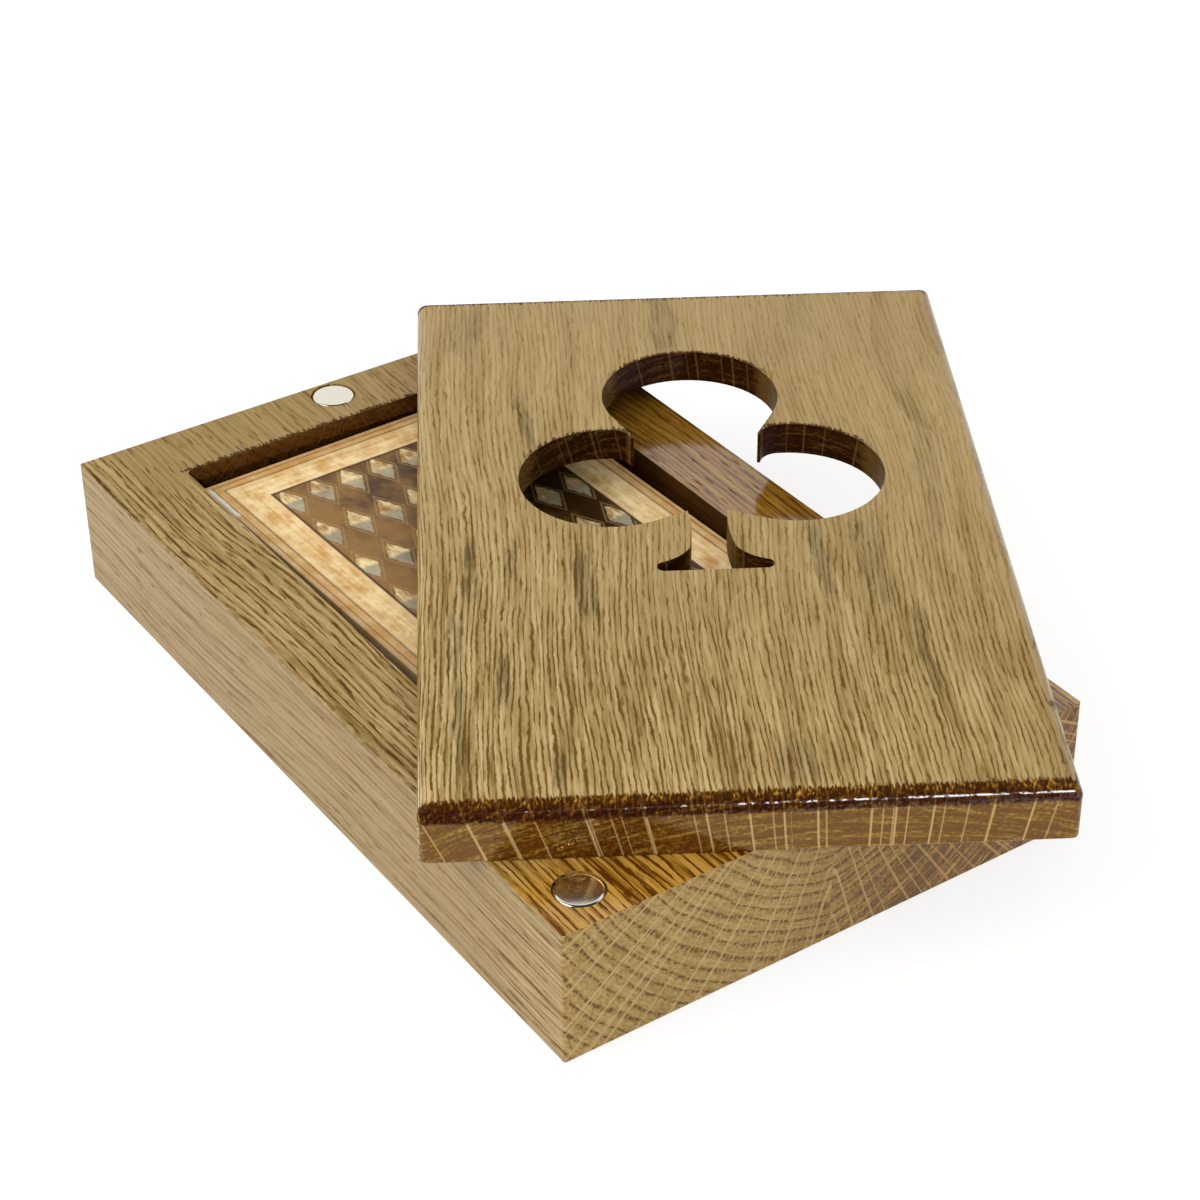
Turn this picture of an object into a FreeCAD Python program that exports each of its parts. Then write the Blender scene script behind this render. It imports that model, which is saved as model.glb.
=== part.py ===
"""A playing card box: an oak block with a milled pocket, a loose oak lid with a club cut-out
held by magnets, and a carton of cards lying in the pocket. Millimetres, +Z up, X across the box,
Y along it; the origin is the middle of the block's underside."""
import FreeCAD, Part
import math
import os
from FreeCAD import Placement, Rotation, Vector

# The oak block and the pocket milled into it.
base_width = 100.0
base_length = 159.0
base_height = 25.0
base_edge_round = 0.5
side_wall = 14.3
end_wall = 13.3
pocket_floor = 5.0
pocket_corner_round = 1.5

# The pocket and the magnet bores are milled a hair to the right of the middle.
milling_shift_x = 0.5

# The lid board, a hair smaller all round than the block.
lid_thickness = 10.0
lid_inset = 0.4
lid_top_round = 2.5
lid_corner_round = 1.2
lid_bottom_round = 0.3

# The lid's underside is milled out over the pocket, which leaves the club in a thinner panel.
lid_recess_depth = 4.0

# How the lid lies askew on the block, by its centre and its turn about +Z.
lid_place_x = 25.0
lid_place_y = -11.8
lid_turn = -31.25

# The club cut through the lid: two side lobes that touch on the lid's middle line, a top lobe
# that nips into them, a finger of wood in each crevice and a stem below. The middle of a
# finger's round tip is seen from the top lobe's centre, its angle counted from +X towards +Y;
# the finger's lower side curls out of the side lobe. The stem is measured down from its neck.
lobe_radius = 16.0
side_lobe_y = 12.3
lobe_nip = 0.357
finger_tip_gap = 2.1
finger_tip_angle = -51.17
finger_tip_round = 0.3
finger_curl_round = 3.6
neck_gap = 1.194
neck_half = 3.4
stem_half = 3.15
stem_drop = 5.6
flare_half = 3.9
flare_drop = 11.5
foot_bend_half = 5.6
foot_bend_drop = 13.7
foot_half = 9.0
foot_drop = 15.7
toe_half = 9.8
toe_drop = 17.1
sole_half = 8.4
sole_drop = 18.3

# Disc magnets glued flush into blind bores, three in the block and three in the lid.
magnet_diameter = 8.0
magnet_height = 3.0
magnet_edge_bevel = 0.5
magnet_side_gap = 0.2
magnet_sink = 0.05
rear_magnet_inset = 4.7
corner_magnet_inset = 7.5

# Poker size cards and the folded carton that holds them.
card_count = 54
card_width = 63.5
card_length = 88.9
card_thickness = 0.26
card_air = 0.01
card_corner_round = 3.5
card_corner_chords = 4
board = 0.4
fold_round = 0.3
slit = 0.1
side_play = 1.0
end_play = 1.2
top_play = 0.2
tongue_length = 14.0
dust_flap_length = 16.0
thumb_notch_radius = 9.0

# How the carton lies loose at the far end of the pocket.
deck_turn = 1.4
deck_side_gap = 2.5
deck_rear_gap = 0.1

lid_width = base_width - 2 * lid_inset
lid_length = base_length - 2 * lid_inset
pocket_width = base_width - 2 * side_wall
pocket_length = base_length - 2 * end_wall
stack_height = card_count * (card_thickness + card_air)
carton_width = card_width + 2 * (side_play + board)
carton_length = card_length + end_play + 3 * board + 2 * slit
carton_height = stack_height + top_play + 3 * board + 2 * slit
stack_base = 2 * (board + slit)


def centred_box(width, length, height):
    """A box centred on the Z axis, standing on z = 0."""
    return Part.makeBox(width, length, height, Vector(-width / 2, -length / 2, 0))


def edges_where(shape, chosen):
    """The straight edges whose two end points both satisfy the test, given as chosen(a, b)."""
    ends = [(edge, [vertex.Point for vertex in edge.Vertexes]) for edge in shape.Edges]
    return [edge for edge, points in ends if len(points) == 2 and chosen(*points)]


def is_vertical(a, b):
    """True for an edge that runs straight up."""
    return math.hypot(a.x - b.x, a.y - b.y) < 1e-6


def bottom_edges(shape):
    """The edges that lie in the plane z = 0."""
    return [edge for edge in shape.Edges if edge.BoundBox.ZMax < 1e-6]


def upright_rounded_box(width, length, height, corner_round):
    """A centred box whose four upright edges are rounded."""
    box = centred_box(width, length, height)
    return box.makeFillet(corner_round, edges_where(box, is_vertical))


def disc(diameter, height, edge_bevel):
    """A disc standing on z = 0 with both its rims bevelled."""
    plain = Part.makeCylinder(diameter / 2, height)
    rims = [edge for edge in plain.Edges if isinstance(edge.Curve, Part.Circle)]
    return plain.makeChamfer(edge_bevel, rims)


def magnet_places():
    """Where the magnets sit, by name, measured from the middle of the block or of the lid."""
    rear_y = base_length / 2 - rear_magnet_inset
    corner_x = base_width / 2 - corner_magnet_inset
    corner_y = -base_length / 2 + corner_magnet_inset
    return {
        "rear": Vector(milling_shift_x, rear_y, 0),
        "front_left": Vector(milling_shift_x - corner_x, corner_y, 0),
        "front_right": Vector(milling_shift_x + corner_x, corner_y, 0),
    }


def magnet_bores(mouth_z, way_in):
    """The three blind bores as cutters; way_in is +1 for bores that go up, -1 for down."""
    radius = magnet_diameter / 2 + magnet_side_gap
    depth = magnet_height + magnet_sink
    bores = []
    for place in magnet_places().values():
        mouth = Vector(place.x, place.y, mouth_z)
        bores.append(Part.makeCylinder(radius, depth, mouth, Vector(0, 0, way_in)))
    return bores


def on_lid(shape):
    """The shape, modelled from the middle of the lid's underside, laid where the lid lies."""
    place = Vector(lid_place_x, lid_place_y, base_height)
    shape.Placement = Placement(place, Rotation(Vector(0, 0, 1), lid_turn))
    return shape


def on_deck(shape):
    """The shape, modelled from the middle of the carton's underside, laid in the pocket.

    The carton's far left corner keeps the side gap and its far right corner the rear gap."""
    turn = math.radians(deck_turn)
    corner_x = milling_shift_x - pocket_width / 2 + deck_side_gap
    corner_y = pocket_length / 2 - deck_rear_gap - carton_width * math.sin(turn)
    to_centre_x = carton_width / 2 * math.cos(turn) + carton_length / 2 * math.sin(turn)
    to_centre_y = carton_width / 2 * math.sin(turn) - carton_length / 2 * math.cos(turn)
    place = Vector(corner_x + to_centre_x, corner_y + to_centre_y, pocket_floor)
    shape.Placement = Placement(place, Rotation(Vector(0, 0, 1), deck_turn))
    return shape


def base_block():
    """The solid oak block with its pocket and three magnet bores."""
    block = centred_box(base_width, base_length, base_height)
    top_rim = edges_where(block, lambda a, b: min(a.z, b.z) > base_height / 2)
    kept = [edge for edge in block.Edges if not any(edge.isSame(rim) for rim in top_rim)]
    block = block.makeFillet(base_edge_round, kept)
    depth = base_height - pocket_floor
    pocket = upright_rounded_box(pocket_width, pocket_length, depth, pocket_corner_round)
    pocket.translate(Vector(milling_shift_x, 0, pocket_floor))
    return block.cut([pocket] + magnet_bores(base_height, -1))


def base_magnets():
    """The block's magnets by node name, each on the bottom of its bore."""
    magnets = {}
    for name, place in magnet_places().items():
        magnet = disc(magnet_diameter, magnet_height, magnet_edge_bevel)
        bore_bottom = base_height - magnet_sink - magnet_height
        magnet.translate(Vector(place.x, place.y, bore_bottom))
        magnets["base_magnet_" + name] = magnet
    return magnets


def polar(centre, distance, degrees):
    """The point at a distance from a centre, its direction counted from +X towards +Y."""
    angle = math.radians(degrees)
    return centre + Vector(distance * math.cos(angle), distance * math.sin(angle), 0)


def heading(start, end):
    """The direction from one point to another, in degrees from +X towards +Y."""
    return math.degrees(math.atan2(end.y - start.y, end.x - start.x))


def touch_direction(centre, radius, outside):
    """The direction from a circle's centre to where a line from the outside point touches it."""
    reach = math.hypot(outside.x - centre.x, outside.y - centre.y)
    return heading(centre, outside) + math.degrees(math.acos(radius / reach))


def meeting_point(first, first_reach, second, second_reach):
    """The point at two given distances from two centres, on the right of the way between them."""
    apart = math.hypot(second.x - first.x, second.y - first.y)
    cosine = (first_reach ** 2 + apart ** 2 - second_reach ** 2) / (2 * first_reach * apart)
    return polar(first, first_reach, heading(first, second) - math.degrees(math.acos(cosine)))


def arc_about(centre, radius, start, end, way):
    """The arc between two directions in degrees; way is -1 for clockwise, +1 for the other way."""
    turn = way * (way * (end - start) % 360)
    first, through, last = (polar(centre, radius, start + turn * share) for share in (0, 0.5, 1))
    return Part.Arc(first, through, last)


def club_half():
    """The right half of the club's outline, from the top of its top lobe down to the sole.

    The top lobe leaves along a straight side to the finger's round tip, from which the finger's
    curled side runs into the side lobe; the stem curves in, flares to the foot and ends in a
    rounded toe."""
    rise = math.sqrt((2 * lobe_radius - lobe_nip) ** 2 - lobe_radius ** 2)
    top = Vector(0, side_lobe_y + rise, 0)
    side = Vector(lobe_radius, side_lobe_y, 0)
    tip = polar(top, lobe_radius + finger_tip_gap, finger_tip_angle)
    curl_reach = lobe_radius - finger_curl_round
    curl = meeting_point(side, curl_reach, tip, finger_curl_round + finger_tip_round)
    neck_fall = math.sqrt((lobe_radius + neck_gap) ** 2 - (lobe_radius - neck_half) ** 2)
    neck = Vector(neck_half, side.y - neck_fall, 0)

    top_exit = touch_direction(top, lobe_radius + finger_tip_round, tip)
    side_entry = heading(side, curl)
    side_exit = touch_direction(side, lobe_radius, neck)
    finger_start = polar(tip, -finger_tip_round, top_exit)

    def below_neck(half, drop):
        return Vector(half, neck.y - drop, 0)

    stem = below_neck(stem_half, stem_drop)
    flare = below_neck(flare_half, flare_drop)
    foot_bend = below_neck(foot_bend_half, foot_bend_drop)
    foot = below_neck(foot_half, foot_drop)
    toe = below_neck(toe_half, toe_drop)
    sole = below_neck(sole_half, sole_drop)
    return [
        arc_about(top, lobe_radius, 90, top_exit, -1),
        Part.LineSegment(polar(top, lobe_radius, top_exit), finger_start),
        arc_about(tip, finger_tip_round, top_exit + 180, heading(tip, curl), 1),
        arc_about(curl, finger_curl_round, heading(curl, tip), side_entry, -1),
        arc_about(side, lobe_radius, side_entry, side_exit, -1),
        Part.LineSegment(polar(side, lobe_radius, side_exit), neck),
        Part.Arc(neck, stem, flare),
        Part.Arc(flare, foot_bend, foot),
        Part.Arc(foot, toe, sole),
        Part.LineSegment(sole, Vector(0, sole.y, 0)),
    ]


def club_cutter():
    """The club as an upright prism, a little taller than the lid."""
    overshoot = 1.0
    right = Part.Wire([curve.toShape() for curve in club_half()])
    left = right.mirror(Vector(0, 0, 0), Vector(1, 0, 0))
    outline = Part.Wire(Part.__sortEdges__(right.Edges + left.Edges))
    prism = Part.Face(outline).extrude(Vector(0, 0, lid_thickness + 2 * overshoot))
    prism.translate(Vector(0, 0, -overshoot))
    return prism


def lid_board():
    """The lid: rounded over along its top, milled out underneath, with the club through it."""
    plank = centred_box(lid_width, lid_length, lid_thickness)
    top_rim = edges_where(plank, lambda a, b: min(a.z, b.z) > lid_thickness / 2)
    plank = plank.makeFillet(lid_top_round, top_rim)
    plank = plank.makeFillet(lid_corner_round, edges_where(plank, is_vertical))
    plank = plank.makeFillet(lid_bottom_round, bottom_edges(plank))
    recess = upright_rounded_box(pocket_width, pocket_length, lid_recess_depth, pocket_corner_round)
    recess.translate(Vector(milling_shift_x, 0, 0))
    return on_lid(plank.cut([recess, club_cutter()] + magnet_bores(0, 1)))


def lid_magnets():
    """The lid's magnets by node name, which meet the block's when the lid is closed."""
    magnets = {}
    for name, place in magnet_places().items():
        magnet = disc(magnet_diameter, magnet_height, magnet_edge_bevel)
        magnet.translate(Vector(place.x, place.y, magnet_sink))
        magnets["lid_magnet_" + name] = on_lid(Part.Compound([magnet]))
    return magnets


def tuck_box():
    """The folded carton: a sleeve closed at the near end, with a tucked flap at the far end.

    The end panel hangs from the top panel and carries a tongue that lies inside the bottom
    panel; two dust flaps fold in from the sides behind it, and the bottom has a thumb notch."""
    inner_width = carton_width - 2 * board
    inner_height = carton_height - 2 * board
    far_end = carton_length / 2
    shell = centred_box(carton_width, carton_length, carton_height)
    folds = edges_where(shell, lambda a, b: abs(a.y - b.y) > board)
    shell = shell.makeFillet(fold_round, folds)
    inside_start = Vector(-inner_width / 2, -far_end + board, board)
    shell = shell.cut(Part.makeBox(inner_width, carton_length, inner_height, inside_start))

    panel_width = inner_width - 2 * slit
    panel_start = Vector(-panel_width / 2, far_end - board, board + slit)
    end_panel = Part.makeBox(panel_width, board, carton_height - 1.5 * board - slit, panel_start)
    tongue_start = Vector(-panel_width / 2, far_end - board - tongue_length, board + slit)
    tongue = Part.makeBox(panel_width, tongue_length + board, board, tongue_start)

    flap_y = far_end - 2 * board - slit
    flap_height = carton_height - stack_base - board - slit
    reach = dust_flap_length + board / 2
    left_flap = Part.makeBox(
        reach, board, flap_height, Vector(-inner_width / 2 - board / 2, flap_y, stack_base)
    )
    right_flap = left_flap.mirror(Vector(0, 0, 0), Vector(1, 0, 0))
    notch = Part.makeCylinder(thumb_notch_radius, board, Vector(0, far_end, 0))
    carton = shell.cut(notch).fuse([end_panel, tongue, left_flap, right_flap])
    return on_deck(carton.removeSplitter())


def card_blank():
    """One card, centred on z = 0; its rounded corners are a few chords, as there are so many."""
    centre_x = card_width / 2 - card_corner_round
    centre_y = card_length / 2 - card_corner_round
    outline = []
    for corner, (way_x, way_y) in enumerate([(1, 1), (-1, 1), (-1, -1), (1, -1)]):
        for step in range(card_corner_chords + 1):
            angle = math.pi / 2 * (corner + step / card_corner_chords)
            x = way_x * centre_x + card_corner_round * math.cos(angle)
            y = way_y * centre_y + card_corner_round * math.sin(angle)
            outline.append(Vector(x, y, 0))
    face = Part.Face(Part.makePolygon(outline + outline[:1]))
    return face.extrude(Vector(0, 0, card_thickness))


def playing_cards():
    """The deck as separate cards, a hair of air between them, lying on the carton's tongue."""
    near_end = -carton_length / 2 + board + end_play / 2
    cards = []
    for number in range(card_count):
        card = card_blank()
        height = stack_base + number * (card_thickness + card_air)
        card.translate(Vector(0, near_end + card_length / 2, height))
        cards.append(card)
    return on_deck(Part.Compound(cards))


def main():
    """Build each piece and write it to its own file."""
    os.makedirs("parts", exist_ok=True)
    pieces = {
        "base_block": base_block(),
        **base_magnets(),
        "lid_board": lid_board(),
        **lid_magnets(),
        "tuck_box": tuck_box(),
        "playing_cards": playing_cards(),
    }
    for node, shape in pieces.items():
        shape.exportStep("parts/" + node + ".step")
        print(node, len(shape.Solids), "solids", round(shape.Volume, 1), "mm3")


main()
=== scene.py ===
import functools
import math

import bpy
import numpy as np
from mathutils import Matrix, Vector


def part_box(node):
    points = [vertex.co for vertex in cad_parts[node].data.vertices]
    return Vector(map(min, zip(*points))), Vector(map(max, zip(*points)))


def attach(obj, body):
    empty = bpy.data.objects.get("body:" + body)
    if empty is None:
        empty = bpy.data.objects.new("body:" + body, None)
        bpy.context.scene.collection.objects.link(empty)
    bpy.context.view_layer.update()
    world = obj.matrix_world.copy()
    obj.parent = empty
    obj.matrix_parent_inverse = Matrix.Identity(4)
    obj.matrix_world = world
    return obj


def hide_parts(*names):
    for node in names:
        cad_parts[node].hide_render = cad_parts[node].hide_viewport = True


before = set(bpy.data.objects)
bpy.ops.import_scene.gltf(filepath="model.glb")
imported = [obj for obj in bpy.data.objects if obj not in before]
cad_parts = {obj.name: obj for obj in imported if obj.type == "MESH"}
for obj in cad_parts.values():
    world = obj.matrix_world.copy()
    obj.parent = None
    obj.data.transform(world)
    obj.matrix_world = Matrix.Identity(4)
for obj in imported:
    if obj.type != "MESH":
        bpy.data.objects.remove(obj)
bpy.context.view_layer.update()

# The oak block. One solid piece of oak with its grain along the box, milled out for the deck,
# stained and given a satin varnish. The pith lay above its top, so its near end shows rings
# that sag to the middle, crossed by pale rays, and its long sides show the pores as dashes.


class Wire:
    """An output of a material's node. Arithmetic on a wire adds Math nodes, and node() adds any
    other node: its settings are set first, then the values or wires of its sockets."""

    def __init__(self, tree, socket=None):
        self.tree = tree
        self.socket = socket

    def node(self, kind, settings=(), inputs=(), out=0):
        made = self.tree.nodes.new("ShaderNode" + kind)
        for name, value in dict(settings).items():
            if name == "stops":
                ramp = made.color_ramp
                while len(ramp.elements) < len(value):
                    ramp.elements.new(1.0)
                for element, (place, colour) in zip(ramp.elements, value):
                    element.position = place
                    element.color = (*colour, 1.0)
            else:
                setattr(made, name, value)
        for key, value in dict(inputs).items():
            if isinstance(value, Wire):
                self.tree.links.new(value.socket, made.inputs[key])
            else:
                made.inputs[key].default_value = value
        return Wire(self.tree, made.outputs[out]) if len(made.outputs) else made

    def shader(self, kind, **sockets):
        """A shader node, its sockets' names written with low lines for spaces."""
        return self.node(kind, (), {key.replace("_", " "): v for key, v in sockets.items()})

    def output(self, name):
        """Another output of the node that this wire comes from."""
        return Wire(self.tree, self.socket.node.outputs[name])

    def math(self, operation, *others):
        return self.node("Math", {"operation": operation}, dict(enumerate((self, *others))))

    def __add__(self, other):
        return self.math("ADD", other)

    def __sub__(self, other):
        return self.math("SUBTRACT", other)

    def __rsub__(self, other):
        return (-self).math("ADD", other)

    def __mul__(self, other):
        return self.math("MULTIPLY", other)

    def __truediv__(self, other):
        return self.math("DIVIDE", other)

    def __neg__(self):
        return self.math("MULTIPLY", -1.0)

    def __abs__(self):
        return self.math("ABSOLUTE")

    def __gt__(self, other):
        return self.math("GREATER_THAN", other)

    def __lt__(self, other):
        return self.math("LESS_THAN", other)

    __radd__ = __add__
    __rmul__ = __mul__

    def least(self, *others):
        """The least of this wire and the others."""
        return functools.reduce(lambda a, b: a.math("MINIMUM", b), others, self)

    def most(self, *others):
        """The most of this wire and the others."""
        return functools.reduce(lambda a, b: a.math("MAXIMUM", b), others, self)

    def length(self, other):
        """The long side of a right triangle whose short sides are the two wires."""
        return (self * self + other * other).math("SQRT")

    def step(self, low, high):
        """A soft step: 0 where the wire is at low, 1 where it is at high."""
        ends = {"Value": self, "From Min": low, "From Max": high}
        return self.node("MapRange", {"interpolation_type": "SMOOTHSTEP"}, ends)

    def choose(self, first, second):
        """The first number where the wire is 0 and the second where it is 1."""
        return self.node("Mix", {"data_type": "FLOAT"}, {0: self, 2: first, 3: second})

    def split(self):
        parts = self.node("SeparateXYZ", (), {0: self})
        return [parts.output(name) for name in "XYZ"]

    def point(self, x, y, z=0.0):
        return self.node("CombineXYZ", (), {0: x, 1: y, 2: z})

    def noise(self, place, detail=1.0, rough=0.5):
        """Soft noise from 0 to 1, with grains about one unit of the place across."""
        sizes = {"Vector": place, "Scale": 1.0, "Detail": detail, "Roughness": rough}
        return self.node("TexNoise", (), sizes)

    def cells(self, place):
        """A flat pattern of cells, each about one unit across with a middle of its own."""
        flat = {"voronoi_dimensions": "2D"}
        return self.node("TexVoronoi", flat, {"Vector": place, "Scale": 1.0})

    def blend(self, first, second, way="MIX"):
        """The first colour where the wire is 0 and the second, mixed in its way, where it is 1."""
        first, second = [c if isinstance(c, Wire) else (*c, 1.0) for c in (first, second)]
        settings = {"data_type": "RGBA", "blend_type": way}
        return self.node("Mix", settings, {0: self, 6: first, 7: second}, 2)


def new_material(name):
    """A bare material, and the first wire to build its shader from."""
    material = bpy.data.materials.new(name)
    material.use_nodes = True
    material.node_tree.nodes.clear()
    return material, Wire(material.node_tree)


def finish_material(start, shader):
    """Puts a shader on the material's output."""
    start.node("OutputMaterial", (), {0: shader})


def object_point(start, scale, place=(0.0, 0.0, 0.0), turn=0.0):
    """A point of the surface in a frame that stands at place and is turned about z: the point
    times scale, turned back, less place turned back. Place is in the scaled unit."""
    cos, sin = math.cos(turn), math.sin(turn)
    back = (-(cos * place[0] + sin * place[1]), sin * place[0] - cos * place[1], -place[2])
    return start.node("Mapping", (), {
        "Vector": start.node("TexCoord", (), (), 3), "Scale": scale,
        "Location": back, "Rotation": (0, 0, -turn)})


def surface_normal(start):
    """The way that the surface faces, as its x, y and z."""
    return start.node("TexCoord", (), (), 1).split()


in_millimetres = (1e3, 1e3, 1e3)


def pore_row(start, around, y, year, season, phase, pitch, wide, long, ring):
    """How near a point is to the pores of one row in each year's ring, 0 far and 1 inside.

    Each cell of a grid round the ring and along the grain holds one pore, a tube whose middle
    is scattered in the cell; the distance to it is counted shorter along the grain. The cells
    of each year lie at another place along the grain, and phase is the row's place in the year."""
    cell_around = around / pitch
    cell_along = y / long + year * 7.37
    cell = start.cells(start.point(cell_around, cell_along, year * 3.1))
    middle = cell.output("Position").split()
    luck = cell.output("Color").split()[0]
    off_around = (cell_around - middle[0]) * pitch
    off_along = (cell_along - middle[1]) * wide
    off_out = (season - phase - luck * 0.10) * ring
    return 1 - off_around.length(off_out).length(off_along).step(wide * 0.55, wide)


def ray_sheet(start, around, y, spacing, wide, shift):
    """The rays, thin sheets from the pith outwards, scattered a spacing apart round the ring:
    1 up to 0.4 of wide from the middle of a sheet, and 0 beyond wide from it."""
    lane = around / spacing + shift
    middle = start.cells(start.point(lane, y / 40)).output("Position").split()[0]
    return 1 - (abs(lane - middle) * spacing).step(wide * 0.4, wide)


oak_tones = [
    (0.0, (0.075, 0.020, 0.002)), (0.25, (0.165, 0.083, 0.009)), (0.5, (0.292, 0.176, 0.033)),
    (0.75, (0.420, 0.278, 0.086)), (1.0, (0.560, 0.395, 0.165)),
]
pore_brown = (0.060, 0.018, 0.002)
ray_cream = (0.600, 0.430, 0.190)
smoke_tint = (0.58, 0.67, 0.74)
stain_and_shade_tint = (1.0, 0.76, 0.32)
amber_tint = (1.0, 0.56, 0.17)


def varnished(start, body, tone, height, pores, marks, amber_shine, clear_shine, varnish_ior):
    """The wood under its satin varnish: one shader for the long grain, one for the cut ends.

    The varnish is thin over the dark lines, which sink a little, and missing from the pores.
    Cut ends drink it, so they shine amber from within as well as clear on top."""
    flat = 1 - marks["end_grain"]
    bump = start.node("Bump", (), {"Strength": 0.5, "Distance": 8e-5, "Height": height})
    thin = (1 - tone.step(0.15, 0.62)) * flat * marks["sunk"]
    coat = marks["coat"] * (1 - (pores * 0.9).most(thin * 0.9))
    long_grain = start.shader(
        "BsdfPrincipled", Base_Color=body, Roughness=0.55, Normal=bump,
        Specular_IOR_Level=0.04, Coat_Weight=coat, Coat_Roughness=0.13, Coat_IOR=varnish_ior)
    cut_ends = start.shader(
        "BsdfPrincipled", Base_Color=body, Roughness=0.16 + pores * 0.3, Normal=bump,
        IOR=1.7, Specular_IOR_Level=amber_shine, Specular_Tint=(*amber_tint, 1.0),
        Coat_Weight=coat * clear_shine, Coat_Roughness=0.13, Coat_IOR=1.5)
    return start.node("MixShader", (), {0: marks["drunk"], 1: long_grain, 2: cut_ends})


def oak(name, figure, place, turn, pith, kink, heart, ring, ray_gap, cord_width,
        amber_shine, clear_shine, varnish_ior):
    """Varnished oak seen from any side, all lengths in millimetres in the board's own frame.

    place and turn say where the board's frame lies. The rings are circles about a line along
    the grain: pith is its x and z, and r = hypot(sqrt(x*x + 2) + kink, z) from there. The rays
    follow the angle about it, and angle times heart measures the way round. ring is the width
    of a year's growth, ray_gap the spacing of its rays and cord_width that of its fibres.
    amber_shine and clear_shine say how strongly the cut ends shine from within and on top, and
    varnish_ior how strongly the varnish bends light elsewhere. figure turns
    (start, x, y, z, normal) into the masks that differ from face to face, such as how strong
    the grain is, how much darker the wood and how thick the varnish."""
    material, start = new_material(name)
    x, y, z = object_point(start, in_millimetres, place, turn).split()
    facing = surface_normal(start)
    across = facing[0] * math.cos(turn) + facing[1] * math.sin(turn)
    lengthwise = facing[1] * math.cos(turn) - facing[0] * math.sin(turn)
    marks = figure(start, x, y, z, (across, lengthwise, facing[2]))
    end_grain = marks["end_grain"]
    flat = 1 - end_grain

    # The trunk: the slow bend of its fibres, the way round it and the distance from its pith.
    bend = start.noise(start.point(x / 60, y / 80, z / 60)) - 0.5
    side = x - pith[0] + bend * 5
    pith_side = 1.0 if pith[1] < 0 else -1.0
    out_x = side.length(1.4) + kink
    out_z = (z + y * 0.012 - pith[1]) * pith_side
    radius = out_x.length(out_z)
    around = out_x.math("ARCTAN2", out_z) * side.math("SIGN") * heart

    # Growth rings: the year, and where in it a point lies, from 0 to 1.
    drift = start.noise(start.point(around / 9, y / 60, radius / 4)) - 0.5
    years = radius / ring + drift * 1.3
    year = years.math("FLOOR")
    season = years - year
    early = 1 - season.step(0.0, 0.5)

    # Fibres lie in ragged cords about a millimetre wide, with thin dark lines between them:
    # the troughs of a sine across the grain whose phase drifts, so the cords part and meet.
    ragged = start.noise(start.point(x / 1.1, y / 3.2, z / 1.1), 3.0, 0.7) - 0.5
    fibre_round = around + ragged * 0.8
    fine = start.noise(start.point(fibre_round / 0.45, y / 12, radius / 0.45), 1.0)
    broad = start.noise(start.point(fibre_round / 1.7, y / 34, radius / 1.7), 1.0)
    drifting = start.noise(start.point(around / 2.3, y / 24, radius / 2.3), 1.0)
    across_cords = (x + z + ragged * 0.75 + bend * 9) / cord_width
    cords = ((across_cords + drifting * 1.9) * (2 * math.pi)).math("SINE")
    lasting = start.noise(start.point(x / 0.9, y / 4.5, z / 0.9), 1.0).step(0.34, 0.60)
    lines = (1 - cords.step(-1.00, -0.25)) * (0.30 + lasting)

    # Wide pores open each year's growth, and smaller ones are scattered behind them.
    wide_pores = pore_row(start, around, y, year, season, 0.10, 0.78, 0.36, 16.0, ring)
    next_pores = pore_row(start, around + 5.3, y, year, season, 0.36, 1.30, 0.24, 12.0, ring)
    dots = wide_pores.most(next_pores * 0.6)
    scattered = start.point(fibre_round / 0.95, y / 9.0, radius / 0.95)
    small = start.node("TexVoronoi", (), {"Vector": scattered, "Scale": 1.0})
    dashes = 1 - small.step(marks["dash_size"], marks["dash_size"] + 0.09)
    pores = (dots * (end_grain * 0.85 + flat * marks["dots"])).most(dashes * flat)

    # On the cut ends the rays stand out, and the wood between them is freckled in rows.
    main_rays = ray_sheet(start, around, y, ray_gap, 0.22, 0.0)
    other_rays = ray_sheet(start, around, y, ray_gap * 0.83, 0.17, 7.7)
    rays = main_rays.most(other_rays * 0.7)
    freckles = start.noise(start.point(around / 0.7, y / 5, radius / 0.5), 1.5, 0.6) - 0.5
    rows = start.noise(start.point(around / 5.0, y / 60, radius / 0.48), 1.0) - 0.5

    # The colour: how light the wood is, from 0 to 1, then its pores, rays, smoke, and its stain
    # and painted shade.
    grain = (fine - 0.5) * 1.1 + (broad - 0.5) * 0.65 - lines * 0.42 + cords * 0.06 + 0.11
    cut = freckles * marks["freckles"] + rows * marks["rows"]
    tone = grain * marks["contrast"] * flat + cut * end_grain
    tone = tone + marks["tone"] - early * (0.10 + end_grain * 0.15) - marks["streak"]
    tone = tone.most(marks["darkest"])
    body = tone.node("ValToRGB", {"stops": oak_tones}, {0: tone})
    body = (pores * marks["pores"]).blend(body, pore_brown)
    body = (rays * (0.06 * flat + marks["rays"] * end_grain)).blend(body, ray_cream)
    body = marks["smoke"].blend(body, smoke_tint, "MULTIPLY")
    body = marks["dark"].blend(body, marks["dark_tint"], "MULTIPLY")
    # Stain and painted shade: a red-brown tint multiplied in on the block's shaded ends and rims
    # and on the lid's rounded ends.
    body = marks["tint_amount"].blend(body, stain_and_shade_tint, "MULTIPLY")

    height = grain * 0.25 * flat + rays * end_grain * 0.2 - pores
    finish_material(start, varnished(
        start, body, tone, height, pores, marks, amber_shine, clear_shine, varnish_ior))
    return material


# The block's sizes in millimetres, from its highest corner, the walls round its pocket, and how
# far the pocket is milled to the right of the middle.
block_half_width, block_half_length, block_height = np.array(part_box("base_block")[1]) * 1e3
side_wall = 14.3
end_wall = 13.3
pocket_shift = 0.5
pocket_half_width = block_half_width - side_wall
pocket_half_length = block_half_length - end_wall


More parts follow.
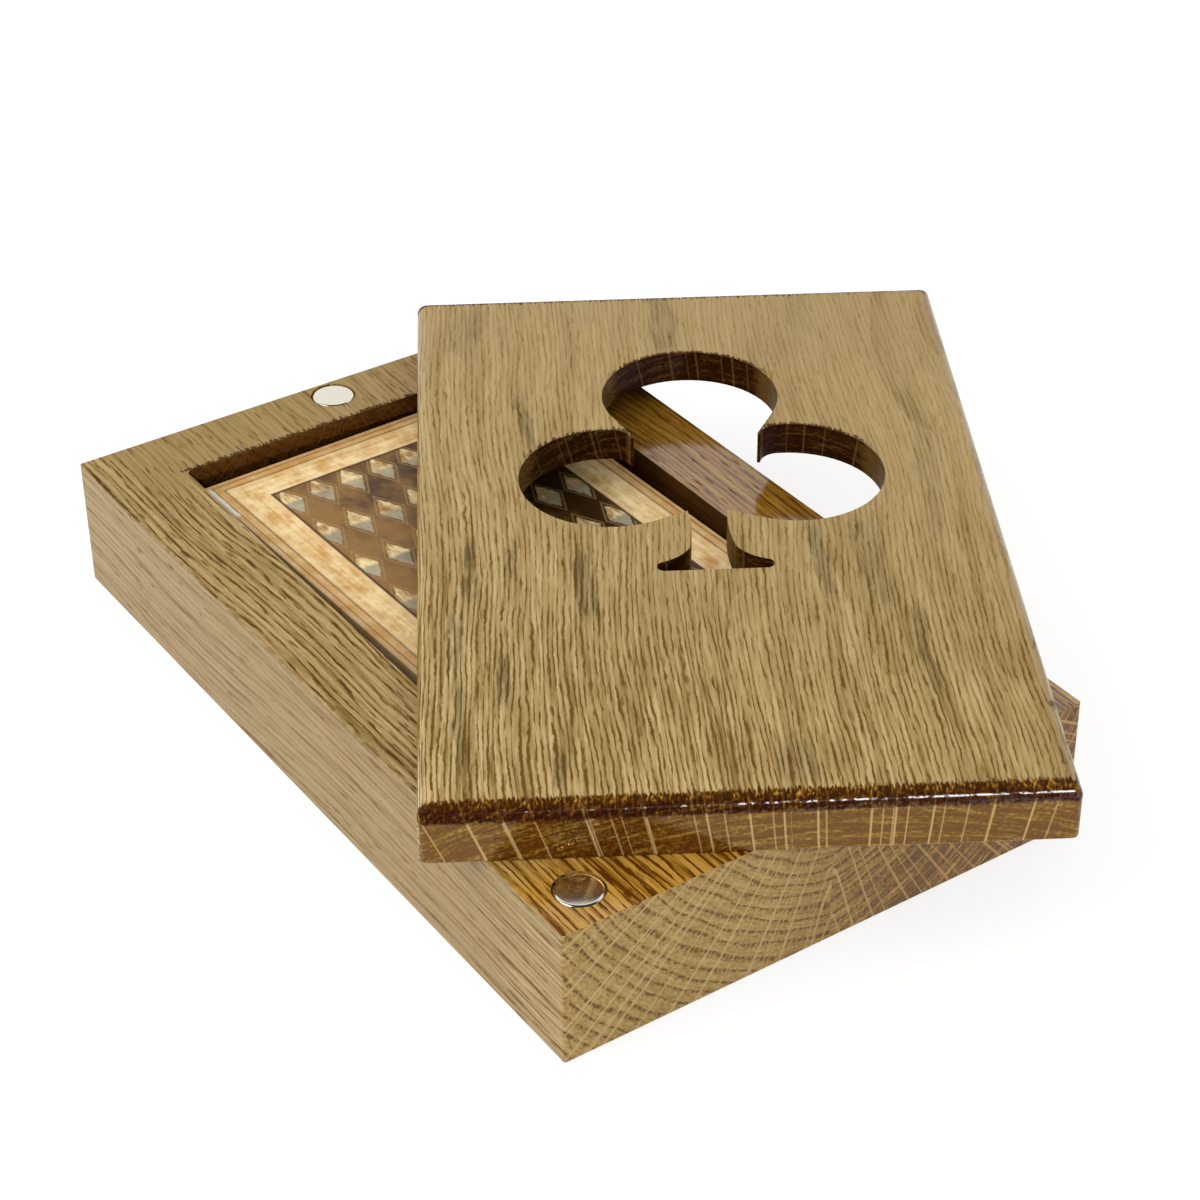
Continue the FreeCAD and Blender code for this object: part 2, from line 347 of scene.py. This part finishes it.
def block_figure(start, x, y, z, normal):
    """The block's faces: its ends show end grain, its sides are calmer than its rims, and the
    milled pocket is painted nearly black as painted shade."""
    end_grain = abs(normal[1]).step(0.6, 0.8)
    sides = abs(normal[0]).step(0.6, 0.8)
    # Painted shade: within the pocket's outline and below the rim, the underside beneath it too,
    # the wood is painted nearly black and bare of varnish.
    inside = abs(x - pocket_shift) < pocket_half_width + 0.25
    inside = inside * (abs(y) < pocket_half_length + 0.25) * (z < block_height - 0.03)
    calm_end = y.step(50.0, 66.0) * x.step(-50.0, -38.0)
    # Painted shade: the right rim, under the lid, is painted darker and redder, with weaker grain,
    # and its varnish is thicker and unbroken.
    right_rim = x.step(34.0, 36.5) * (1 - sides)
    # Painted shade: the near rim is painted redder, a little lighter in tone and with much
    # stronger grain, where the lid shades it and it mirrors the lid's dark front.
    painted_near_rim_shade = 1 - y.step(-70.0, -56.0)
    contrast = 0.86 - calm_end * 0.62 + painted_near_rim_shade * 1.05 - right_rim * 0.30
    contrast = contrast * (1 - sides * 0.70)

    # The torn fibres of the rear rim, where the cutter left the pocket's far wall.
    ticks = start.noise(start.point(x / 0.45, y / 4.0, 3.0))
    torn = (ticks - (y - pocket_half_length).step(0.0, 1.8) * 0.42).step(0.34, 0.46)
    torn = torn * (y > pocket_half_length - 0.1) * (abs(x) < pocket_half_width + 0.3)
    torn = torn * (normal[2] > 0.5) * (y < pocket_half_length + 2.0)

    # The worn top edges, where the pores have broken out.
    worn = start.noise(start.point(x / 1.2, y / 2.4, z / 1.2), 2.0).step(0.46, 0.58)
    edge = abs(x).step(block_half_width - 0.8, block_half_width - 0.25)
    edge = edge * z.step(block_height - 0.8, block_height - 0.2) * worn

    # Painted shade: the ends are painted darker and redder towards the right, under the lid's
    # overhang, and the rims at the near end and on the right are painted redder where the lid
    # shades them.
    shade = x.step(-14.0, 22.0) * end_grain * 0.40
    painted_rim_shade = painted_near_rim_shade.most(right_rim * 0.9) * (1 - sides) * (1 - end_grain)
    painted_red_end_shade = end_grain * x.step(-6.0, 20.0) * 0.6
    return {
        "end_grain": end_grain, "drunk": end_grain, "contrast": contrast,
        "tint_amount": painted_rim_shade.most(painted_red_end_shade),
        # The tone carries the painted shade of the ends' right part and of the right rim.
        "tone": 0.55 + end_grain * 0.11 + painted_near_rim_shade * 0.04 - right_rim * 0.10 - shade,
        "darkest": 0.08, "freckles": 1.0 + x.step(-6.0, 24.0) * 0.7,
        "rows": 0.6 + x.step(-6.0, 24.0) * 1.9, "smoke": edge * 0.3,
        "sunk": 1 - right_rim * 0.75, "streak": edge * 0.14,
        "dots": 0.12, "dash_size": 0.13 - sides * 0.02,
        "rays": 0.75, "pores": 0.62 - sides * 0.25 + end_grain * 0.34,
        # dark: the pocket's painted shade, and the torn fibres' own darkness.
        "dark": inside.most(torn * 0.9), "dark_tint": (0.16, 0.095, 0.065),
        "coat": (0.45 + sides * 0.17 + right_rim * 0.55).least(1 - inside.most(torn) * 0.92),
    }


block_oak = oak(
    "satin_oak_block", block_figure, place=(0.0, 0.0, 0.0), turn=0.0, pith=(0.0, 54.0),
    kink=10.0, heart=46.0, ring=2.2, ray_gap=3.6, cord_width=1.4, amber_shine=0.50,
    clear_shine=0.35, varnish_ior=1.8)
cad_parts["base_block"].material_slots[0].material = block_oak


# The lid. An oak board a hair smaller than the block, rounded over along its top, with a club
# sawn through it. Its pith lay far below, so the rings run flat through it and open into long
# arches on its top, and the rays stand nearly upright on its near end.
lid_low, lid_high = [np.array(corner) * 1e3 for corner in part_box("lid_board")]
lid_place = ((lid_low[0] + lid_high[0]) / 2, (lid_low[1] + lid_high[1]) / 2, lid_low[2])
lid_turn = math.radians(-31.25)
lid_inset = 0.4
lid_half_length = block_half_length - lid_inset
lid_height = lid_high[2] - lid_low[2]
lid_recess_height = 4.0
lobe_radius = 16.0
lobe_places = [(0.0, 39.58), (-16.0, 12.3), (16.0, 12.3)]

# Smoky streaks in the lid's top: x, the nearer and the farther y, half width and depth.
smoky_streaks = [
    (-40.6, -24, -7, 0.8, 0.30), (-33.7, -18, -6, 0.7, 0.25), (-42.7, -72, -28, 0.8, 0.22),
    (-21.3, -31, -11, 1.6, 0.26), (-35.0, -53, -40, 1.0, 0.30), (-27.7, -75, -66, 1.0, 0.24),
    (18.3, -26, -4, 1.2, 0.22), (26.5, -30, -4, 2.2, 0.16), (32.3, -54, -31, 1.2, 0.20),
    (8.5, -75, -65, 3.2, 0.18), (-2.5, 56, 80, 2.6, 0.17), (-29.5, 22, 40, 1.0, 0.22),
    (-40.0, 58, 76, 2.6, 0.12), (24.0, 60, 78, 2.0, 0.06), (40.0, -10, 40, 1.6, 0.10),
]


def lid_figure(start, x, y, z, normal):
    """The lid's faces: its grain is stronger towards the near left corner, its rounded ends are
    darker, partly their own stain and partly painted shade, the club's sawn walls and the recess
    underneath are painted dark as painted shade, and the saw tore the fibres behind each lobe."""
    end_grain = abs(normal[1]).step(0.45, 0.7)
    up = normal[2].step(0.6, 0.9)
    steep = 1 - abs(normal[2]).step(0.5, 0.9)
    # Painted shade: the club's sawn walls are painted dark, with fewer rays and little varnish.
    club_wall = (abs(x) < 40.0) * (abs(y - 15) < 50.0) * steep
    # Painted shade: the recess in the underside is painted dark and bare of varnish.
    recess = (z < lid_recess_height + 0.1) * (abs(x - pocket_shift) < pocket_half_width + 0.1)
    recess = recess * (abs(y) < pocket_half_length + 0.1)

    # The rounded ends begin in ragged ticks, where the cut fibres reach the top.
    ticks = start.noise(start.point(x / 0.50, y / 3.5, 7.0), 1.0)
    to_the_end = (abs(y) + (ticks - 0.5) * 3.4).step(lid_half_length - 2.6, lid_half_length - 1.8)
    rounded = to_the_end * (z + (ticks - 0.5)).step(lid_height - 3.0, lid_height - 2.3)

    # The streaks wander with the fibres and fade at both ends.
    wander = (start.noise(start.point(x / 30, y / 16, 0.0)) - 0.5) * 5.0
    rag = start.noise(start.point(x / 0.7, y / 7, 5.0), 2.0).step(0.32, 0.62)
    streaks = []
    for middle, near, far, half, depth in smoky_streaks:
        width = 1 - abs(x + wander + rag - middle).step(half * 0.75, half * 1.25)
        lasting = y.step(near - 3, near + 3) * (1 - y.step(far - 3, far + 3))
        streaks.append(width * lasting * depth)
    streak = streaks[0].most(*streaks[1:]) * (0.70 + rag * 0.75) * up

    # The torn fibres behind each lobe of the club.
    tears = []
    for lobe_x, lobe_y in lobe_places:
        out = (x - lobe_x).length(y - lobe_y) - lobe_radius
        behind = (y - lobe_y).step(5.0, 11.0)
        frayed = (ticks - out.step(0.0, 1.6) * 0.42).step(0.34, 0.44)
        tears.append(frayed * (out < 1.7) * behind)
    torn = tears[0].most(*tears[1:]) * up

    # The cut fibres show as short amber ticks on the rounded ends, and the varnish ran thin
    # here and there along them, which breaks their gleam.
    amber_ticks = start.noise(start.point(x / 0.42, y / 1.1, z / 0.9), 2.0).step(0.46, 0.66)
    gaps = start.noise(start.point(x / 1.3, y / 1.0, z / 1.0), 3.0, 0.7)
    gaps = (gaps + x * 0.0030).step(0.53, 0.61)
    gleam = 1 - rounded * (1 - gaps) * 0.96

    contrast = (x * -0.0072 - y * 0.0092).math("EXPONENT") * 0.52
    # Painted sheen: the top is painted paler towards its far end, less so at the far right.
    painted_far_sheen = y.step(-50.0, 15.0) * (0.065 - x.step(0.0, 45.0) * y.step(20.0, 60.0) * 0.035) * up
    # The rounded ends are darker and redder, broken by the amber ticks: partly the stain that
    # their cut fibres drink, and partly painted shade standing for the dark room that they mirror.
    darker = (end_grain * 0.49).most(rounded * (0.58 - amber_ticks * 0.48))
    return {
        "end_grain": end_grain.most(rounded), "contrast": contrast,
        "drunk": end_grain * (1 - rounded.most(club_wall)), "tint_amount": rounded * 0.9,
        "tone": 0.59 + painted_far_sheen - darker,
        "darkest": up * 0.20, "freckles": 1.3, "rows": 1.3,
        "smoke": streak * 1.9, "sunk": 1.0, "streak": streak * 0.5,
        "dots": 0.10, "dash_size": 0.12,
        "rays": 0.80 - rounded * 0.55 - club_wall * 0.4,
        "pores": contrast.least(1.0) * 0.35 + end_grain * 0.3,
        # dark: painted shade on the club walls, the recess and the rounded ends, and the torn
        # fibres' own darkness.
        "dark": (club_wall * 0.81).most(recess, torn * 0.9, rounded * (0.80 - amber_ticks * 0.80)),
        "dark_tint": (0.20, 0.115, 0.07),
        "coat": (0.76 + end_grain * 0.16).least(1 - club_wall.most(recess, torn) * 0.92) * gleam,
    }


lid_oak = oak(
    "satin_oak_lid", lid_figure, place=lid_place, turn=lid_turn, pith=(14.0, -125.0),
    kink=0.0, heart=130.0, ring=2.5, ray_gap=6.4, cord_width=0.98, amber_shine=0.8,
    clear_shine=0.10, varnish_ior=1.5)
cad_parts["lid_board"].material_slots[0].material = lid_oak


# The magnets. Bright nickel-plated discs 8 mm across, glued flush into blind holes, three in
# the block and three in the lid, so that the closed lid snaps into place.
magnet_radius = 4.0
magnet_height = 3.0
magnet_rim = 0.5
magnet_sides = 96
magnet_sink = 0.05
rear_inset = 4.7
corner_inset = 7.5
rear_y = block_half_length - rear_inset
corner_x = block_half_width - corner_inset
corner_y = corner_inset - block_half_length
magnet_places = [
    (pocket_shift, rear_y), (pocket_shift - corner_x, corner_y),
    (pocket_shift + corner_x, corner_y)]


def nickel_discs(name, bottom, places):
    """Closed discs turned about upright axes, one at each place, as one mesh.

    The profile runs from the middle of the underside out to the rim, up and back to the middle
    of the top, with a quarter circle at both rims; each ring of the surface is the profile's
    radius times the cosine and sine of the way round. Poles are single points."""
    quarter = np.linspace(0, math.pi / 2, 6)
    rim_out = magnet_radius - magnet_rim + magnet_rim * np.sin(quarter)
    rim_up = magnet_rim - magnet_rim * np.cos(quarter)
    flat = np.array([magnet_radius - magnet_rim - 0.05])
    out = np.concatenate([flat, rim_out, rim_out[::-1], flat])
    up = np.concatenate([[0.0], rim_up, magnet_height - rim_up[::-1], [magnet_height]])
    way = np.linspace(0, 2 * math.pi, magnet_sides, endpoint=False)
    level = np.repeat(up[:, None], magnet_sides, 1)
    rings = np.stack([np.outer(out, np.cos(way)), np.outer(out, np.sin(way)), level], -1)
    one = np.concatenate([rings.reshape(-1, 3), [[0, 0, 0], [0, 0, magnet_height]]])

    row, side = np.meshgrid(np.arange(len(out) - 1), np.arange(magnet_sides), indexing="ij")
    here, after = row * magnet_sides + side, row * magnet_sides + (side + 1) % magnet_sides
    walls = np.stack([here, after, after + magnet_sides, here + magnet_sides], -1)
    side = np.arange(magnet_sides)
    after = (side + 1) % magnet_sides
    bottom_pole = np.full(magnet_sides, len(one) - 2)
    top_ring = len(one) - 2 - magnet_sides
    bottom_cap = np.stack([bottom_pole, after, side], -1)
    top_cap = np.stack([bottom_pole + 1, top_ring + side, top_ring + after], -1)

    points = np.concatenate([one + (x, y, bottom) for x, y in places]) / 1e3
    faces = []
    for first in range(0, len(points), len(one)):
        for part in (walls.reshape(-1, 4), bottom_cap, top_cap):
            faces += (part + first).tolist()
    mesh = bpy.data.meshes.new(name)
    mesh.from_pydata(points.tolist(), [], faces)
    mesh.polygons.foreach_set("use_smooth", np.ones(len(mesh.polygons), bool))
    piece = bpy.data.objects.new(name, mesh)
    bpy.context.scene.collection.objects.link(piece)
    return piece


nickel, start = new_material("bright_nickel")
scuff = start.noise(object_point(start, (700, 2600, 700)), 4.0)
tint_amount = start.noise(object_point(start, (400, 400, 400)), 2.0)
nickel_tint = tint_amount.blend((0.74, 0.70, 0.59), (0.84, 0.80, 0.69))
finish_material(start, start.shader(
    "BsdfPrincipled", Base_Color=nickel_tint, Metallic=1.0, Roughness=0.09 + scuff * 0.10))

cos, sin = math.cos(lid_turn), math.sin(lid_turn)
places_on_lid = [
    (lid_place[0] + x * cos - y * sin, lid_place[1] + x * sin + y * cos)
    for x, y in magnet_places]
base_bottom = block_height - magnet_height - magnet_sink
lid_bottom = block_height + magnet_sink
base_discs = nickel_discs("base_magnet_discs", base_bottom, magnet_places)
lid_discs = nickel_discs("lid_magnet_discs", lid_bottom, places_on_lid)
for discs, body in ((base_discs, "base"), (lid_discs, "lid")):
    discs.data.materials.append(nickel)
    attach(discs, body)
    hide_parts(*[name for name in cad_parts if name.startswith(body + "_magnet")])


# The deck's carton. A folded and coated carton printed all over: tan bands like a wooden frame,
# and a dark panel with a lattice of tall lozenges. White board shows where a fold is worn.
carton_place = (1.56, 19.55, 5.0)
carton_turn = math.radians(1.4)
carton_half_width = 33.15
carton_half_length = 45.75
strip_width = 2.55
band_width = 8.75
lozenge_width = 6.4
lozenge_length = 13.0
bare_width = 1.25
bare_length = 12.75


def printed_line(inward, place, core, soft):
    """A line along all four edges: 1 up to core from its place, 0 beyond soft from it."""
    return 1 - abs(inward - place).step(core, soft)


carton, start = new_material("printed_carton")
u, v, w = object_point(start, in_millimetres, carton_place, carton_turn).split()
from_side = carton_half_width - abs(u)
from_end = carton_half_length - abs(v)
inward = from_side.least(from_end)
by_the_side = from_side < from_end
along = by_the_side.choose(u, v)
crossing = by_the_side.choose(v, u)

# The bands: mottled tan with fine strokes along them, paler at both edges, dark keylines.
mottle = start.noise(start.point(u / 3.2, v / 4.5, w / 4), 4.0, 0.6)
strokes = start.noise(start.point(along / 16, crossing / 0.7, w / 4), 2.0)
tan = (mottle * 0.75 + strokes * 0.35).step(0.33, 0.76).blend(
    (0.62, 0.31, 0.062), (1.0, 0.80, 0.43))
strip = inward < strip_width
tan = (strip * 0.50).blend(tan, (0.60, 0.30, 0.080))
pale_edges = printed_line(inward, strip_width + 0.85, 0.1, 0.7).most(
    printed_line(inward, band_width - 0.45, 0.1, 0.6))
tan = (pale_edges * 0.45).blend(tan, (0.92, 0.66, 0.36))
keylines = printed_line(inward, strip_width + 0.15, 0.10, 0.34).most(
    printed_line(inward, strip_width - 1.50, 0.05, 0.25)) * 0.6

# The panel: umber, lighter towards the left, under a lattice of ochre and grey lozenges.
clouds = start.noise(start.point(u / 6, v / 8, w / 6), 4.0, 0.65)
umber = (clouds + (-u - 4) / 90).step(0.30, 0.80).blend(
    (0.050, 0.022, 0.005), (0.30, 0.155, 0.040))
cell_u = (u / lozenge_width).math("FRACT")
cell_v = (v / lozenge_length).math("FRACT")
lozenge = abs(cell_u - 0.5) * 2 + abs(cell_v - 0.5) * 2
brushed = (start.noise(start.point(u / 0.6, v / 4.0, w), 2.0) - 0.5) * 0.35
filled = 1 - (lozenge + brushed).step(0.64, 0.74)
outlined = 1 - abs(lozenge - 0.88).step(0.03, 0.09)
far_half = (cell_v - 0.5 + brushed * 0.3).step(-0.06, 0.04)
metal = clouds.blend((0.12, 0.10, 0.058), (0.66, 0.57, 0.38))
wood = (mottle + brushed).step(0.3, 0.7).blend((0.36, 0.18, 0.035), (1.0, 0.80, 0.42))
motif = far_half.blend(metal, wood)
panel = (outlined * 0.55).blend(umber, (0.40, 0.25, 0.090))
panel = (filled * (0.72 + clouds * 0.5)).blend(panel, motif)
printed = inward.step(band_width, band_width + 0.20).blend(tan, panel)
frame_line = printed_line(inward, band_width + 0.30, 0.12, 0.42) * 0.9
printed = frame_line.most(keylines).blend(printed, (0.075, 0.034, 0.008))

# Wear: folds rubbed pale, bare board along the far left corner.
rub = start.noise(start.point(u / 1.5, v / 1.5, w / 1.5), 3.0)
rubbed = (1 - inward.step(0.10, 0.55)) * rub.step(0.40, 0.62) * 0.55
bare = u < bare_width - carton_half_width - rub * 0.6
bare = bare * (v > carton_half_length - bare_length + rub * 2.0)
bare = bare * (v < carton_half_length + 0.25)
bare = bare * (1 - (v + rub).step(carton_half_length - 1.25, carton_half_length + 0.25))
printed = rubbed.blend(printed, (0.62, 0.50, 0.34))
printed = bare.blend(printed, (0.80, 0.75, 0.63))
finish_material(start, start.shader(
    "BsdfPrincipled", Base_Color=printed, Roughness=0.42, Specular_IOR_Level=0.1,
    Coat_Weight=0.16 - bare * 0.1 - rubbed * 0.1, Coat_Roughness=0.16, Coat_IOR=1.5))
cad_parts["tuck_box"].material_slots[0].material = carton


# The cards inside the carton: white coated stock, a little greyer along their cut edges.
stock, start = new_material("card_stock")
x, y, z = object_point(start, in_millimetres).split()
upright = abs(surface_normal(start)[2])
linen = start.noise(start.point(x / 0.5, y / 0.5, z / 0.27), 2.0)
edge_grey = linen.blend((0.62, 0.60, 0.54), (0.80, 0.78, 0.72))
face_white = linen.blend((0.84, 0.83, 0.79), (0.88, 0.87, 0.83))
finish_material(start, start.shader(
    "BsdfPrincipled", Base_Color=upright.step(0.4, 0.6).blend(edge_grey, face_white),
    Roughness=0.45))
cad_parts["playing_cards"].material_slots[0].material = stock


# The table: a plain white sweep that keeps the box's soft shadow. Bright things mirror it as
# white round the box, and as the dark room farther out on the near side.
camera_place = Vector((-0.219299, -0.341420, 0.295732))
sweep_size = 3.0
mesh = bpy.data.meshes.new("white_sweep")
corners = np.array([[-1, -1, 0], [1, -1, 0], [1, 1, 0], [-1, 1, 0]]) * sweep_size / 2
mesh.from_pydata(corners.tolist(), [], [(0, 1, 2, 3)])
sweep = bpy.data.objects.new("white_sweep", mesh)
bpy.context.scene.collection.objects.link(sweep)

paper, start = new_material("white_paper")
camera_ray = start.node("LightPath")
glossy_ray = camera_ray.output("Is Glossy Ray")
through_ray = camera_ray.output("Is Transmission Ray")
here = start.node("TexCoord", (), (), 3)
near_side = (camera_place.x, camera_place.y, 0.0)
nearness = here.node("VectorMath", {"operation": "DOT_PRODUCT"}, {0: here, 1: near_side}, 1)
nearness = nearness / camera_place.xy.length
mirrored_white = 1 - nearness.step(0.20, 0.34)
glow_level = 0.79 * (1 - glossy_ray) + glossy_ray * mirrored_white * 0.78
glow_white = start.point(glow_level, glow_level, glow_level)
glow = start.node("Emission", (), {"Color": glow_white, "Strength": 1.0})
faint = start.node("BsdfDiffuse", (), {"Color": (0.30, 0.30, 0.295, 1.0)})
lit = start.node("AddShader", (), {0: faint, 1: glow})
matt = start.node("BsdfDiffuse", (), {"Color": (0.80, 0.80, 0.79, 1.0)})
seen = camera_ray.most(glossy_ray, through_ray)
finish_material(start, start.node("MixShader", (), {0: seen, 1: matt, 2: lit}))
mesh.materials.append(paper)


# The light: a white tent with one broad lamp at its left. It opens towards the near side, where
# bright things mirror the dark room with one strip light high in it.
dark_room_way = (-0.30, -0.45, 0.84)
strip_middle_way = (-0.29, -0.862, 0.417)
across_strip_way = (0.2215, 0.3616, 0.9056)
strip_level = 30.0
lamp_place = (-0.90, 0.06, 0.75)
lamp_width = 0.9
lamp_watts = 6.0

world = bpy.data.worlds.new("white_tent")
bpy.context.scene.world = world
world.use_nodes = True
world.node_tree.nodes.clear()
start = Wire(world.node_tree)
camera_ray = start.node("LightPath")
glossy_ray = camera_ray.output("Is Glossy Ray")
way = start.node("TexCoord", (), (), 0)


def toward(direction):
    """How nearly a direction in the room is the given one: the cosine between them."""
    unit = Vector(direction).normalized()
    return way.node("VectorMath", {"operation": "DOT_PRODUCT"}, {0: way, 1: unit}, 1)


dark_room = toward(dark_room_way).step(0.42, 0.62)
strip_light = (1 - abs(toward(across_strip_way)).step(0.07, 0.12)) * toward(
    strip_middle_way).step(0.970, 0.996)
tent = 1.0 - dark_room * 0.97 + strip_light * strip_level
level = 0.80 * (1 - glossy_ray) + camera_ray * 0.20 + glossy_ray * tent
tent_white = start.point(level, level, level)
background = start.node("Background", (), {"Color": tent_white, "Strength": 1.0})
start.node("OutputWorld", (), {0: background})

lamp_data = bpy.data.lights.new("broad_lamp", "AREA")
lamp_data.shape = "DISK"
lamp_data.size = lamp_width
lamp_data.energy = lamp_watts
lamp = bpy.data.objects.new("broad_lamp", lamp_data)
lamp.location = lamp_place
lamp.rotation_euler = (-lamp.location).to_track_quat("-Z", "Y").to_euler()
bpy.context.scene.collection.objects.link(lamp)


# The camera. It stands to the left of the near end and above it, and its turn is one angle, in
# radians, about one axis: the vector's length and its direction.
frame_pixels = 1200
focal_pixels = 2846.515
turn_vector = Vector((2.08903616, -0.64811247, 0.33312276))

camera_data = bpy.data.cameras.new("camera")
camera_data.sensor_width = 36.0
camera_data.lens = focal_pixels / frame_pixels * camera_data.sensor_width
camera = bpy.data.objects.new("camera", camera_data)
right, down, forward = Matrix.Rotation(turn_vector.length, 3, turn_vector.normalized())
axes = Matrix((right, -down, -forward)).transposed()
camera.matrix_world = Matrix.Translation(camera_place) @ axes.to_4x4()
bpy.context.scene.collection.objects.link(camera)
bpy.context.scene.camera = camera
bpy.context.scene.view_settings.view_transform = "Standard"
